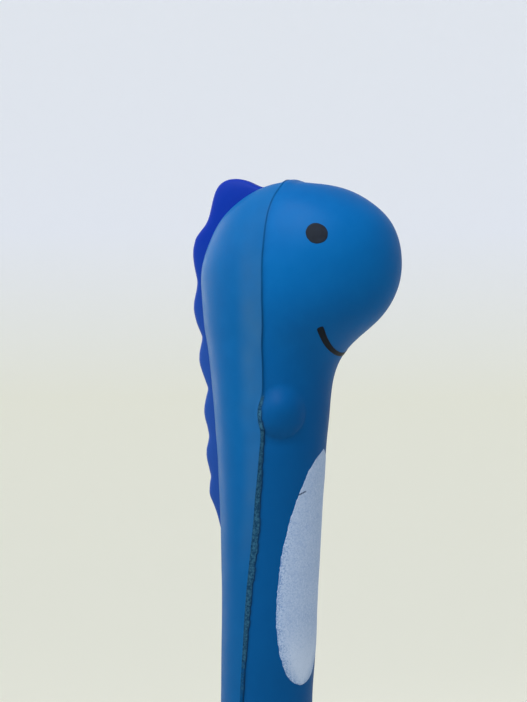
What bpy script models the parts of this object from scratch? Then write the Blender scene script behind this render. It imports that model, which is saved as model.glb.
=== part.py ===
"""Soft foam dinosaur gel pen with a push-on cap.

The pen stands on the flat end of its cap, which is the origin, with +Z along
the pen towards the dinosaur's head.  The dinosaur looks along -Y, so its right
side is at -X.  All sizes below are in millimetres and are scaled to metres
when a mesh is made.
"""

import math

import bmesh
import bpy
import numpy as np
from mathutils import Vector

MM = 0.001

# ---------------------------------------------------------------- foam body
# Horizontal sections of the foam: height, reach of the front (towards -Y),
# reach of the back, half the width, and where along the depth the widest
# point is.  Each section is two half ellipses that meet at the widest point.
SECTIONS = (
    (164.60, 4.2, 4.2, 0.0, 4.2),
    (164.45, 6.0, 3.3, 2.2, 4.3),
    (164.15, 8.6, 1.6, 4.2, 4.5),
    (163.70, 11.7, -0.5, 5.4, 4.8),
    (162.90, 14.0, -2.2, 6.7, 5.1),
    (161.70, 16.2, -4.2, 8.0, 5.8),
    (160.20, 18.25, -6.1, 9.1, 6.4),
    (158.60, 19.85, -7.6, 9.9, 6.9),
    (157.00, 20.85, -8.6, 10.6, 7.2),
    (155.40, 21.45, -9.35, 11.0, 7.4),
    (153.80, 21.8, -10.0, 11.3, 7.4),
    (151.90, 21.95, -10.65, 11.4, 7.2),
    (149.80, 21.9, -11.0, 11.4, 6.9),
    (147.40, 21.35, -10.9, 11.2, 6.2),
    (145.00, 20.2, -10.7, 10.9, 5.3),
    (142.60, 18.3, -10.5, 10.4, 4.2),
    (140.50, 15.6, -10.2, 9.9, 2.9),
    (138.60, 13.4, -9.8, 9.5, 1.8),
    (136.20, 11.6, -9.5, 9.2, 1.1),
    (133.00, 10.5, -9.1, 9.0, 0.8),
    (129.80, 10.1, -8.8, 8.9, 0.8),
    (126.60, 9.8, -8.5, 8.8, 0.7),
    (121.80, 9.3, -8.1, 8.6, 0.6),
    (117.80, 9.1, -7.9, 8.4, 0.6),
    (113.80, 8.8, -7.7, 8.2, 0.5),
    (109.80, 8.6, -7.5, 8.0, 0.5),
    (105.80, 8.4, -7.4, 7.8, 0.5),
    (97.80, 8.0, -7.3, 7.6, 0.3),
    (89.80, 7.6, -7.4, 7.5, 0.2),
    (81.80, 7.0, -7.6, 7.3, -0.2),
    (75.00, 6.9, -7.6, 7.25, -0.3),
    (69.50, 6.8, -7.5, 7.2, -0.3),
    (67.60, 6.5, -7.2, 6.9, -0.3),
    (66.60, 6.0, -6.7, 6.4, -0.3),
    (66.30, 5.5, -6.2, 5.9, -0.3),
)
COLUMNS = 36            # points round each foam section
TWIST_TOP = 124.0       # the sleeve sits turned on the barrel below this height
TWIST_SPAN = 50.0
TWIST_DEG = -28.0

NECK_Z = 135.0          # centre that the head nods about
BALL_R = 8.6            # lower end of the head
CUP_R = 8.9             # hollow in the top of the torso
RIM_Z = 131.0           # top edge of the torso
BORE_R = 4.2            # hollow for the barrel
BORE_TOP = 121.3

# Bumps moulded into the foam: angle from the front, height, half width along
# the surface, half height, and how far it stands out.
ARM = (61.0, 127.2, 3.5, 3.7, 1.4)
FOOT = (36.0, 71.6, 3.5, 4.3, 1.6)

# ---------------------------------------------------------------- crest
# Distance down the back from the crown's start, and height above the skin.
CREST_HEIGHTS = (
    (0, 1.49), (0.4, 2.08), (1, 2.82), (1.6, 3.4), (2.2, 3.88), (2.8, 4.27), (3.4, 4.5),
    (4, 4.58), (4.6, 4.48), (5.2, 4.2), (5.8, 3.81), (6.4, 3.38), (7, 2.97), (7.6, 2.62),
    (8.2, 2.36), (8.8, 2.22), (9.4, 2.22), (10, 2.36), (10.8, 2.62), (11.8, 2.87), (12.6, 2.76),
    (13.2, 2.7), (14.2, 2.39), (15.4, 1.84), (16.6, 1.3), (17.4, 1.02), (17.9, 0.93),
    (18.4, 0.96), (19.2, 1.12), (20.2, 1.47), (21.2, 1.77), (22.2, 1.9), (23, 1.84),
    (24.4, 1.59), (25.6, 1.22), (26.4, 0.98), (26.8, 0.93), (27.3, 1.1), (28, 1.43),
    (29.2, 1.9), (30.4, 2.1), (31.2, 2.06), (32.4, 1.8), (34, 1.36), (34.9, 1.08), (35.3, 1.06),
    (35.8, 1.25), (37, 1.71), (38.2, 2.05), (39, 2.14), (40, 2.06), (41.2, 1.78), (42.4, 1.62),
    (43, 1.62), (43.8, 1.85), (44.8, 2.21), (45.8, 2.32), (46.6, 2.28), (48.4, 1.92),
    (49.2, 1.76), (49.6, 1.76), (50.2, 1.96), (51.2, 2.14), (52, 2.24), (52.7, 2.12),
    (53.8, 1.65), (55, 1.22), (56.2, 0.9), (57.4, 0.64), (58.6, 0.38),
)
CREST_WIDTH = 3.4
CREST_START_F = -1.7    # depth on the crown where the crest starts
CREST_HEAD_END = 135.35
CREST_BACK_TOP = 130.65
SKIN_GAP = 0.13         # between the foam and a piece lying on it

# ---------------------------------------------------------------- painted pieces
# Height and half angle of the pale belly.
BELLY = (
    (122.15, 2.6), (121.81, 4.2), (121.20, 11.5), (120.48, 17.4), (118.95, 26.3), (116.48, 34.1),
    (114.31, 38.9), (110.90, 45.3), (106.53, 49.6), (102.61, 50.1), (98.69, 48.8), (96.34, 47.0),
    (93.98, 43.9), (90.83, 37.8), (88.44, 31.0), (86.83, 24.4), (85.98, 18.4), (85.30, 10.5),
    (85.05, 4.0),
)
PAINT_THICKNESS = 0.22
EYE_ANGLE = 71.6
EYE_Z = 155.8
EYE_R = 1.78
MOUTH_HALF_ANGLE = 53.4
MOUTH_LOW_Z = 137.12
MOUTH_RISE = 4.3
MOUTH_CURVE = 2.08
MOUTH_WIDTH = 0.8

# ---------------------------------------------------------------- pen inside
COLLAR_BOTTOM = 56.8
COLLAR_TOP = 66.0
COLLAR_R = 5.8
BARREL_R = 4.0
BARREL_BORE = 3.35
BARREL_TOP = 120.0
SPIGOT_R = 4.1
SPIGOT_TOP = 64.5
FLANGE_BOTTOM = 55.3
FLANGE_TOP = 56.5
NOSE_Z = 12.0           # lower end of the grip section
TUBE_R = 3.0
TUBE_BORE = 2.5
TUBE_BOTTOM = 27.3
TUBE_TOP = 116.0
INK_TOP = 88.0
BALL_POINT_Z = 5.42
BALL_POINT_R = 0.35
CAP_LENGTH = 55.0
CAP_WALL_R = 5.8
CLIP_WIDTH = 4.2


# ---------------------------------------------------------------- scene helpers
def srgb(r, g, b):
    """8-bit display colour to linear RGBA."""
    def lin(c):
        c /= 255.0
        return c / 12.92 if c <= 0.04045 else ((c + 0.055) / 1.055) ** 2.4
    return (lin(r), lin(g), lin(b), 1.0)


def material(name, colour, roughness, metallic=0.0):
    mat = bpy.data.materials.new(name)
    mat.use_nodes = True
    shader = mat.node_tree.nodes["Principled BSDF"]
    shader.inputs["Base Color"].default_value = colour
    shader.inputs["Roughness"].default_value = roughness
    shader.inputs["Metallic"].default_value = metallic
    return mat


def clear_scene():
    for obj in list(bpy.data.objects):
        bpy.data.objects.remove(obj, do_unlink=True)


def empty(name, z):
    obj = bpy.data.objects.new(name, None)
    obj.empty_display_size = 0.01
    obj.location = (0.0, 0.0, z * MM)
    bpy.context.scene.collection.objects.link(obj)
    return obj


def place(name, bm, mat, parent=None, smooth_deg=35.0):
    """Turn a bmesh in millimetres into a named object under its joint's empty."""
    shift = parent.location.z if parent else 0.0
    bmesh.ops.recalc_face_normals(bm, faces=bm.faces)
    for v in bm.verts:
        v.co = v.co * MM - Vector((0.0, 0.0, shift))
    mesh = bpy.data.meshes.new(name)
    bm.to_mesh(mesh)
    bm.free()
    mesh.materials.append(mat)
    mesh.shade_smooth()
    mesh.set_sharp_from_angle(angle=math.radians(smooth_deg))
    obj = bpy.data.objects.new(name, mesh)
    bpy.context.scene.collection.objects.link(obj)
    if parent:
        obj.parent = parent
    return obj


# ---------------------------------------------------------------- mesh helpers
def turned(profile, segments):
    """Spin a closed (radius, height) outline about Z."""
    bm = bmesh.new()
    verts = [bm.verts.new((r, 0.0, z)) for r, z in profile]
    edges = [bm.edges.new((verts[i], verts[(i + 1) % len(verts)])) for i in range(len(verts))]
    on_axis = [e for e in edges if all(v.co.x < 1e-9 for v in e.verts)]
    bmesh.ops.delete(bm, geom=on_axis, context="EDGES")
    bmesh.ops.spin(
        bm, geom=bm.verts[:] + bm.edges[:], cent=(0, 0, 0), axis=(0, 0, 1),
        angle=2 * math.pi, steps=segments, use_merge=True, use_duplicate=False,
    )
    bmesh.ops.remove_doubles(bm, verts=bm.verts, dist=1e-5)
    return bm


def lofted(rings, first_pole, last_pole):
    """Skin closed rings of equal length, and close each end on a point."""
    bm = bmesh.new()
    rows = [[bm.verts.new(p) for p in ring] for ring in rings]
    n = len(rows[0])
    for a, b in zip(rows, rows[1:]):
        for i in range(n):
            j = (i + 1) % n
            bm.faces.new((a[i], a[j], b[j], b[i]))
    for pole, row in ((first_pole, rows[0]), (last_pole, rows[-1])):
        tip = bm.verts.new(pole)
        for i in range(n):
            bm.faces.new((tip, row[i], row[(i + 1) % n]))
    return bm


def slab(outer, inner):
    """Close two matching grids of points into one thin solid."""
    bm = bmesh.new()
    top = [[bm.verts.new(p) for p in row] for row in outer]
    low = [[bm.verts.new(p) for p in row] for row in inner]
    rows, cols = len(top), len(top[0])
    for grid in (top, low):
        for i in range(rows - 1):
            for j in range(cols - 1):
                bm.faces.new((grid[i][j], grid[i][j + 1], grid[i + 1][j + 1], grid[i + 1][j]))
    rim = [(0, j) for j in range(cols)] + [(i, cols - 1) for i in range(1, rows)]
    rim += [(rows - 1, j) for j in range(cols - 2, -1, -1)] + [(i, 0) for i in range(rows - 2, 0, -1)]
    for k, (i, j) in enumerate(rim):
        i2, j2 = rim[(k + 1) % len(rim)]
        bm.faces.new((top[i][j], top[i2][j2], low[i2][j2], low[i][j]))
    return bm


# ---------------------------------------------------------------- foam surface
class Foam:
    """The dinosaur's outer surface, from the crown down to the open lower end."""

    def __init__(self):
        table = np.array(SECTIONS)
        half_depth = (table[:, 1] - table[:, 2]) / 2
        step = np.hypot(np.diff(half_depth), np.diff(table[:, 0]))
        knots = np.concatenate(([0.0], np.cumsum(step)))
        self.length = knots[-1]
        self.u = np.linspace(0.0, self.length, 1600)
        self.z, self.front, self.back, self.half, self.mid = (
            self.through(knots, table[:, k]) for k in range(5)
        )

    def through(self, knots, values):
        """Smooth curve through the stations, read at every self.u."""
        gap = np.diff(knots)
        rise = np.diff(values) / gap
        slope = np.empty(len(knots))
        slope[1:-1] = (rise[:-1] * gap[1:] + rise[1:] * gap[:-1]) / (gap[1:] + gap[:-1])
        slope[0] = 1.5 * rise[0] - 0.5 * slope[1]
        slope[-1] = 1.5 * rise[-1] - 0.5 * slope[-2]
        i = np.clip(np.searchsorted(knots, self.u, side="right") - 1, 0, len(gap) - 1)
        w = (self.u - knots[i]) / gap[i]
        return (
            (2 * w**3 - 3 * w**2 + 1) * values[i] + (w**3 - 2 * w**2 + w) * gap[i] * slope[i]
            + (3 * w**2 - 2 * w**3) * values[i + 1] + (w**3 - w**2) * gap[i] * slope[i + 1]
        )

    def at_u(self, u):
        return tuple(np.interp(u, self.u, v) for v in (self.z, self.front, self.back, self.half, self.mid))

    def u_of_z(self, z):
        return float(np.interp(z, self.z[::-1], self.u[::-1]))

    @staticmethod
    def twist(z):
        w = min(max((TWIST_TOP - z) / TWIST_SPAN, 0.0), 1.0)
        return math.radians(TWIST_DEG) * w * w * (3 - 2 * w)

    @staticmethod
    def bump(angle_deg, z, radius):
        """How far the arms and feet stand out at a point."""
        out = 0.0
        for centre, height, wide, tall, proud in (ARM, FOOT):
            for side in (1, -1):
                across = math.radians(angle_deg - side * centre) * radius / wide
                d = across**2 + ((z - height) / tall) ** 2
                if d < 1.0:
                    out = max(out, proud * (1 - d) ** 1.3)
        return out

    def point(self, angle_deg, u, lift=0.0, bumps=True):
        """Point at an angle from the front (positive to the right side, -X)."""
        z, front, back, half, mid = self.at_u(u)
        a = math.radians((angle_deg + 180.0) % 360.0 - 180.0)
        depth = front - mid if math.cos(a) >= 0 else mid - back
        x, f = -half * math.sin(a), depth * math.cos(a)
        nx, nf = x / max(half, 1e-6) ** 2, f / max(depth, 1e-6) ** 2
        size = math.hypot(nx, nf) or 1.0
        if bumps:
            lift += self.bump(math.degrees(a), z, max(half, 1.0))
        x, f = x + lift * nx / size, mid + f + lift * nf / size
        t = self.twist(z)
        return Vector((x * math.cos(t) + f * math.sin(t), x * math.sin(t) - f * math.cos(t), z))

    def ring(self, u):
        return [self.point(360.0 * k / COLUMNS, u) for k in range(COLUMNS)]

    def outside(self, p):
        """Positive outside the foam, negative inside."""
        if p.z >= self.z[0]:
            return 1.0
        _, front, back, half, mid = self.at_u(self.u_of_z(p.z))
        t = self.twist(p.z)
        x = p.x * math.cos(t) + p.y * math.sin(t)
        f = -(p.y * math.cos(t) - p.x * math.sin(t))
        depth = front - mid if f >= mid else mid - back
        return (x / max(half, 1e-6)) ** 2 + ((f - mid) / max(depth, 1e-6)) ** 2 - 1.0

    def seat(self, p, away):
        """Slide a point along the direction away until it lies on the surface."""
        low, high = -6.0, 6.0
        for _ in range(40):
            centre = 0.5 * (low + high)
            if self.outside(p + away * centre) > 0:
                high = centre
            else:
                low = centre
        return p + away * (0.5 * (low + high))

    def normal(self, p):
        e = 0.02
        g = [
            self.outside(p + Vector(d) * e) - self.outside(p - Vector(d) * e)
            for d in ((1, 0, 0), (0, 1, 0), (0, 0, 1))
        ]
        return Vector(g).normalized()


def even_rows(z_low, z_high, spacing, foam):
    """Surface parameters between two heights, evenly spaced along the skin."""
    u0, u1 = foam.u_of_z(z_low), foam.u_of_z(z_high)
    steps = max(1, round(abs(u1 - u0) / spacing))
    return [u0 + (u1 - u0) * k / steps for k in range(steps + 1)]


# ---------------------------------------------------------------- foam pieces
def foam_torso(foam):
    us = even_rows(66.3, 68.0, 0.8, foam) + even_rows(68.0, 79.0, 1.6, foam)[1:]
    us += even_rows(79.0, 122.0, 4.0, foam)[1:] + even_rows(122.0, RIM_Z, 1.3, foam)[1:]
    outer = [foam.ring(u) for u in us]

    def circle(r, z, turn=0.0):
        return [
            Vector((-r * math.sin(2 * math.pi * k / COLUMNS - turn),
                    -r * math.cos(2 * math.pi * k / COLUMNS - turn), z))
            for k in range(COLUMNS)
        ]

    cup = []
    for z in np.linspace(RIM_Z, NECK_Z - CUP_R * 0.94, 6):
        cup.append(circle(math.sqrt(CUP_R**2 - (NECK_Z - z) ** 2), z))
    low_turn = foam.twist(66.3)
    bore = [circle(BORE_R, z, low_turn * (1 - k / 3)) for k, z in enumerate(np.linspace(66.3, BORE_TOP, 4))]
    rings = bore[::-1] + outer + cup
    return lofted(rings, (0, 0, BORE_TOP), (0, 0, NECK_Z - CUP_R))


def foam_head(foam):
    us = [0.9, 1.9, 3.0, 4.6, 6.4]
    us += even_rows(float(foam.at_u(8.2)[0]), NECK_Z, 1.75, foam)
    outer = [foam.ring(u) for u in us]
    ball = []
    for lean in np.linspace(0, 78, 7):
        r, z = BALL_R * math.cos(math.radians(lean)), NECK_Z - BALL_R * math.sin(math.radians(lean))
        ball.append([
            Vector((-r * math.sin(2 * math.pi * k / COLUMNS), -r * math.cos(2 * math.pi * k / COLUMNS), z))
            for k in range(COLUMNS)
        ])
    return lofted(outer + ball, (0, -foam.mid[0], foam.z[0]), (0, 0, NECK_Z - BALL_R))


def crest(foam, z_from, z_to, spacing):
    """Scalloped ridge down the middle of the back, between two heights."""
    start = int(np.argmin(np.where(foam.u < 20, np.abs(foam.back - CREST_START_F), 99)))
    run = np.concatenate(([0.0], np.cumsum(np.hypot(np.diff(foam.back[start:]), np.diff(foam.z[start:])))))
    heights = np.array(CREST_HEIGHTS)
    z_on_run, f_on_run = foam.z[start:], foam.back[start:]
    s0 = 0.0 if z_from is None else float(np.interp(-z_from, -z_on_run, run))
    s1 = heights[-1, 0] if z_to is None else float(np.interp(-z_to, -z_on_run, run))
    outer, inner = [], []
    for s in np.linspace(s0, s1, max(2, round((s1 - s0) / spacing)) + 1):
        def on(q):
            t = foam.twist(float(np.interp(q, run, z_on_run)))
            f, z = float(np.interp(q, run, f_on_run)), float(np.interp(q, run, z_on_run))
            return Vector((f * math.sin(t), -f * math.cos(t), z))
        p = on(s)
        along = (on(s + 0.5) - on(max(s - 0.5, 0.0))).normalized()
        t = foam.twist(p.z)
        side = Vector((math.cos(t), math.sin(t), 0.0))
        away = side.cross(along).normalized()
        if away.dot(Vector((0, 1, 1))) < 0:
            away.negate()
        tall = float(np.interp(s, heights[:, 0], heights[:, 1]))
        top, low = [], []
        for w in (-1.0, -0.72, 0.0, 0.72, 1.0):
            q = foam.seat(p + side * (w * CREST_WIDTH / 2), away)
            rise = tall * (0.45 if abs(w) == 1.0 else 1.0)
            low.append(q + away * SKIN_GAP)
            if abs(w) == 1.0:
                top.append(q + away * max(rise, 0.3))
            else:
                top.append(p + side * (w * CREST_WIDTH / 2) + away * max(rise - (0.15 if w else 0.0), 0.3))
        outer.append(top)
        inner.append(low)
    return slab(outer, inner)


def belly_patch(foam):
    table = np.array(BELLY)
    rows = np.concatenate((np.linspace(table[0, 0], 119.0, 5), np.linspace(116.5, 91.0, 9), np.linspace(88.9, table[-1, 0], 6)))
    outer, inner = [], []
    for z in rows:
        half = float(np.interp(-z, -table[:, 0], table[:, 1]))
        u = foam.u_of_z(z)
        angles = [half * (2 * k / 12 - 1) for k in range(13)]
        inner.append([foam.point(a, u, SKIN_GAP) for a in angles])
        outer.append([foam.point(a, u, SKIN_GAP + PAINT_THICKNESS) for a in angles])
    return slab(outer, inner)


def eye(foam, side):
    centre = foam.point(side * EYE_ANGLE, foam.u_of_z(EYE_Z))
    away = foam.normal(centre)
    u = away.cross(Vector((0, 0, 1))).normalized()
    v = away.cross(u)
    steps = 18

    def disc(radius, lift):
        return [
            foam.seat(centre + (u * math.cos(2 * math.pi * k / steps) + v * math.sin(2 * math.pi * k / steps)) * radius, away)
            + away * lift
            for k in range(steps)
        ]

    high, low = SKIN_GAP + PAINT_THICKNESS, SKIN_GAP
    rings = [disc(EYE_R * 0.5, high), disc(EYE_R * 0.93, high), disc(EYE_R, high - 0.09),
             disc(EYE_R, low), disc(EYE_R * 0.5, low)]
    return lofted(rings, centre + away * high, centre + away * low)


def mouth(foam):
    outer, inner = [], []
    steps = 26
    line = []
    for k in range(steps + 1):
        a = MOUTH_HALF_ANGLE * (2 * k / steps - 1)
        z = MOUTH_LOW_Z + MOUTH_RISE * abs(a / MOUTH_HALF_ANGLE) ** MOUTH_CURVE
        line.append(foam.point(a, foam.u_of_z(z)))
    for k, p in enumerate(line):
        along = (line[min(k + 1, steps)] - line[max(k - 1, 0)]).normalized()
        away = foam.normal(p)
        across = away.cross(along).normalized()
        top, low = [], []
        for w in (-0.5, 0.0, 0.5):
            q = foam.seat(p + across * (w * MOUTH_WIDTH), away)
            low.append(q + away * SKIN_GAP)
            top.append(q + away * (SKIN_GAP + PAINT_THICKNESS))
        outer.append(top)
        inner.append(low)
    return slab(outer, inner)


# ---------------------------------------------------------------- pen pieces
def barrel():
    return turned((
        (4.3, COLLAR_BOTTOM), (COLLAR_R - 0.25, COLLAR_BOTTOM), (COLLAR_R, COLLAR_BOTTOM + 0.25),
        (COLLAR_R, COLLAR_TOP - 0.25), (COLLAR_R - 0.25, COLLAR_TOP), (BARREL_R, COLLAR_TOP),
        (BARREL_R, BARREL_TOP), (BARREL_BORE, BARREL_TOP), (BARREL_BORE, 65.2), (4.3, 64.8),
    ), 32)


def end_plug():
    return turned((
        (0.0, 117.0), (2.75, 117.0), (3.05, 117.4), (3.05, BARREL_TOP + 0.3),
        (BARREL_R, BARREL_TOP + 0.3), (BARREL_R, BARREL_TOP + 0.8), (BARREL_R - 0.2, BARREL_TOP + 1.0),
        (0.0, BARREL_TOP + 1.0),
    ), 28)


def ink_tube():
    return turned((
        (TUBE_BORE, TUBE_BOTTOM), (TUBE_R, TUBE_BOTTOM), (TUBE_R, TUBE_TOP), (TUBE_BORE, TUBE_TOP),
    ), 28)


def ink():
    return turned(((0.0, 31.4), (2.35, 31.4), (2.35, INK_TOP), (0.0, INK_TOP)), 24)


def ink_follower():
    return turned(((0.0, INK_TOP + 0.3), (2.35, INK_TOP + 0.3), (2.35, INK_TOP + 4.6), (1.2, INK_TOP + 5.2), (0.0, INK_TOP + 5.3)), 24)


def tip_holder():
    return turned((
        (1.30, 14.0), (1.75, 14.0), (1.75, 20.6), (2.6, 20.6), (2.9, 20.9), (2.9, 27.0),
        (2.3, 27.0), (2.3, 30.8), (2.1, 31.1), (0.9, 31.1), (0.9, 19.0), (1.30, 19.0),
    ), 28)


def tip_cone():
    return turned((
        (0.41, 5.24), (0.53, 5.24), (1.05, 8.7), (1.05, 18.7), (0.5, 18.7), (0.5, 7.0),
        (0.2, 6.3), (0.2, 5.98), (0.43, 5.78), (0.43, 5.4),
    ), 28)


def writing_ball():
    bm = bmesh.new()
    bmesh.ops.create_uvsphere(bm, u_segments=14, v_segments=8, radius=BALL_POINT_R)
    bmesh.ops.translate(bm, verts=bm.verts, vec=(0, 0, BALL_POINT_Z))
    return bm


def grip_section():
    return turned((
        (2.05, NOSE_Z), (2.4, NOSE_Z), (2.75, NOSE_Z + 0.4), (4.3, 20.0), (4.45, 26.0), (4.7, 50.0),
        (4.7, FLANGE_BOTTOM), (COLLAR_R - 0.25, FLANGE_BOTTOM), (COLLAR_R, FLANGE_BOTTOM + 0.25),
        (COLLAR_R, FLANGE_TOP - 0.2), (COLLAR_R - 0.2, FLANGE_TOP), (SPIGOT_R, FLANGE_TOP),
        (SPIGOT_R, SPIGOT_TOP - 0.4), (SPIGOT_R - 0.4, SPIGOT_TOP), (3.3, SPIGOT_TOP),
        (3.3, 20.0), (2.05, 19.2),
    ), 36)


def cap_shell(mat):
    """Push-on cap, with its clip united to the wall."""
    wall = place("cap", turned((
        (0.0, 0.0), (4.1, 0.0), (4.6, 0.2), (4.85, 0.7), (CAP_WALL_R - 0.05, 48.0), (CAP_WALL_R, 50.0),
        (CAP_WALL_R, CAP_LENGTH - 0.2), (CAP_WALL_R - 0.2, CAP_LENGTH), (5.05, CAP_LENGTH),
        (5.0, 50.0), (4.65, 20.0), (4.1, 2.2), (3.6, 1.6), (0.0, 1.6),
    ), 40), mat)
    outline = (
        (-4.55, 3.2), (-6.9, 3.2), (-7.7, 3.8), (-8.05, 5.2), (-8.35, 42.8), (-8.15, 44.2), (-7.6, 44.8),
        (-7.05, 44.5), (-6.75, 43.6), (-6.5, 42.5), (-6.75, 41.3), (-7.0, 40.0), (-6.85, 10.0), (-6.55, 8.9),
        (-5.9, 8.4), (-4.55, 8.3),
    )
    bm = bmesh.new()
    face = bm.faces.new([bm.verts.new((-CLIP_WIDTH / 2, y, z)) for y, z in outline])
    grown = bmesh.ops.extrude_face_region(bm, geom=[face])
    new = [g for g in grown["geom"] if isinstance(g, bmesh.types.BMVert)]
    bmesh.ops.translate(bm, verts=new, vec=(CLIP_WIDTH, 0, 0))
    clip = place("clip_form", bm, mat)
    clip.hide_render = True
    clip.display_type = "WIRE"
    union = wall.modifiers.new("clip", "BOOLEAN")
    union.operation = "UNION"
    union.solver = "EXACT"
    union.object = clip
    return wall, clip


def cap_seal():
    return turned((
        (0.0, 1.9), (2.5, 1.9), (2.5, 4.2), (2.1, 4.6), (0.9, 4.6), (0.6, 4.4), (0.0, 4.3),
    ), 24)


# ---------------------------------------------------------------- assembly
def main():
    clear_scene()
    foam = Foam()

    blue = material("foam_blue", srgb(16, 92, 156), 0.55)
    royal = material("crest_blue", srgb(26, 66, 172), 0.5)
    pale = material("belly_pale", srgb(168, 186, 208), 0.7)
    black = material("print_black", srgb(18, 22, 30), 0.45)
    shell = material("barrel_plastic", srgb(16, 84, 150), 0.3)
    clear = material("tube_plastic", srgb(214, 220, 224), 0.2)
    ink_mat = material("gel_ink", srgb(12, 14, 18), 0.3)
    grease = material("follower_gel", srgb(206, 196, 150), 0.25)
    white = material("holder_plastic", srgb(226, 228, 228), 0.35)
    steel = material("tip_metal", srgb(196, 196, 190), 0.25, 1.0)
    carbide = material("ball_metal", srgb(150, 152, 156), 0.15, 1.0)
    seal = material("seal_rubber", srgb(70, 74, 80), 0.8)

    head_pivot = empty("head_pivot", NECK_Z)
    cap_pivot = empty("cap_slide", 0.0)
    section_pivot = empty("section_slide", FLANGE_TOP)
    refill_pivot = empty("refill_slide", FLANGE_TOP)

    place("foam_torso", foam_torso(foam), blue)
    place("crest_back", crest(foam, CREST_BACK_TOP, None, 0.75), royal)
    place("belly_patch", belly_patch(foam), pale)
    place("barrel", barrel(), shell)
    place("end_plug", end_plug(), white)

    place("foam_head", foam_head(foam), blue, head_pivot)
    place("crest_head", crest(foam, None, CREST_HEAD_END, 0.85), royal, head_pivot)
    place("eye_right", eye(foam, 1), black, head_pivot)
    place("eye_left", eye(foam, -1), black, head_pivot)
    place("mouth", mouth(foam), black, head_pivot)

    place("ink_tube", ink_tube(), clear, refill_pivot)
    place("ink", ink(), ink_mat, refill_pivot)
    place("ink_follower", ink_follower(), grease, refill_pivot)
    place("tip_holder", tip_holder(), white, refill_pivot)
    place("tip_cone", tip_cone(), steel, refill_pivot)
    place("writing_ball", writing_ball(), carbide, refill_pivot)

    place("grip_section", grip_section(), shell, section_pivot)

    wall, clip = cap_shell(shell)
    wall.parent = cap_pivot
    clip.parent = cap_pivot
    place("cap_seal", cap_seal(), seal, cap_pivot)

    bpy.context.view_layer.update()


main()
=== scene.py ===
"""Looks of the foam dinosaur gel pen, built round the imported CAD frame."""

import math
import bmesh
import bpy
import numpy as np
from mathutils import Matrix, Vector


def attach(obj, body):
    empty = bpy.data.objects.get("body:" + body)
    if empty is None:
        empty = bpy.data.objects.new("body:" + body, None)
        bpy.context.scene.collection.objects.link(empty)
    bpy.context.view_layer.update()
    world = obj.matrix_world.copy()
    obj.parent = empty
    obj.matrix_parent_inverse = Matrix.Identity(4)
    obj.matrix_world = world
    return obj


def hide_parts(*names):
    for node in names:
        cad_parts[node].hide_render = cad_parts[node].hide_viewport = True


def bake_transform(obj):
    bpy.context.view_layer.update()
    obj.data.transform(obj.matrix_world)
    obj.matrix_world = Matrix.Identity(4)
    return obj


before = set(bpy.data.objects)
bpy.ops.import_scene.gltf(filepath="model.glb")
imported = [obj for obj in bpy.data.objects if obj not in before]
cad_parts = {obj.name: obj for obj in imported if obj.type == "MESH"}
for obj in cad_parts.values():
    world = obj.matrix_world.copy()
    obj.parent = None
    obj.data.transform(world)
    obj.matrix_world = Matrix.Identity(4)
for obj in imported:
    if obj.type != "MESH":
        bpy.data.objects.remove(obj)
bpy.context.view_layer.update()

MM = 0.001
scene = bpy.context.scene
if scene.world is None:
    scene.world = bpy.data.worlds.new("studio")

# =====================================================================
# Camera
# =====================================================================
AZ = math.radians(-70.0)
VIEW_DIR = Vector((math.sin(AZ), -math.cos(AZ), 0.0))      # from the pen to the camera
RIGHT = Vector((math.cos(AZ), math.sin(AZ), 0.0))
DIST = 0.350

cam_data = bpy.data.cameras.new("camera")
cam_data.sensor_width = 36.0
cam_data.lens = 112.2
cam_data.clip_start, cam_data.clip_end = 0.02, 20.0
cam = bpy.data.objects.new("camera", cam_data)
scene.collection.objects.link(cam)
cam.location = VIEW_DIR * DIST + RIGHT * -0.00072 + Vector((0, 0, 0.13764))
cam.rotation_euler = (math.radians(90.0), 0.0, AZ)
scene.camera = cam

# =====================================================================
# Foam surface: the same stations as the CAD, in millimetres
# =====================================================================
SECTIONS = (
    (164.60, 4.2, 4.2, 0.0, 4.2), (164.45, 6.0, 3.3, 2.2, 4.3), (164.15, 8.6, 1.6, 4.2, 4.5),
    (163.70, 11.7, -0.5, 5.4, 4.8), (162.90, 14.0, -2.2, 6.7, 5.1), (161.70, 16.2, -4.2, 8.0, 5.8),
    (160.20, 18.25, -6.1, 9.1, 6.4), (158.60, 19.85, -7.6, 9.9, 6.9), (157.00, 20.85, -8.6, 10.6, 7.2),
    (155.40, 21.45, -9.35, 11.0, 7.4), (153.80, 21.8, -10.0, 11.3, 7.4), (151.90, 21.95, -10.65, 11.4, 7.2),
    (149.80, 21.9, -11.0, 11.4, 6.9), (147.40, 21.35, -10.9, 11.2, 6.2), (145.00, 20.2, -10.7, 10.9, 5.3),
    (142.60, 18.3, -10.5, 10.4, 4.2), (140.50, 15.6, -10.2, 9.9, 2.9), (138.60, 13.4, -9.8, 9.5, 1.8),
    (136.20, 11.6, -9.5, 9.2, 1.1), (133.00, 10.5, -9.1, 9.0, 0.8), (129.80, 10.1, -8.8, 8.9, 0.8),
    (126.60, 9.8, -8.5, 8.8, 0.7), (121.80, 9.3, -8.1, 8.6, 0.6), (117.80, 9.1, -7.9, 8.4, 0.6),
    (113.80, 8.8, -7.7, 8.2, 0.5), (109.80, 8.6, -7.5, 8.0, 0.5), (105.80, 8.4, -7.4, 7.8, 0.5),
    (97.80, 8.0, -7.3, 7.6, 0.3), (89.80, 7.6, -7.4, 7.5, 0.2), (81.80, 7.0, -7.6, 7.3, -0.2),
    (75.00, 6.9, -7.6, 7.25, -0.3), (69.50, 6.8, -7.5, 7.2, -0.3), (67.60, 6.5, -7.2, 6.9, -0.3),
    (66.60, 6.0, -6.7, 6.4, -0.3), (66.30, 5.5, -6.2, 5.9, -0.3),
)
TWIST_TOP, TWIST_SPAN, TWIST_DEG = 124.0, 50.0, -28.0

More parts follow.
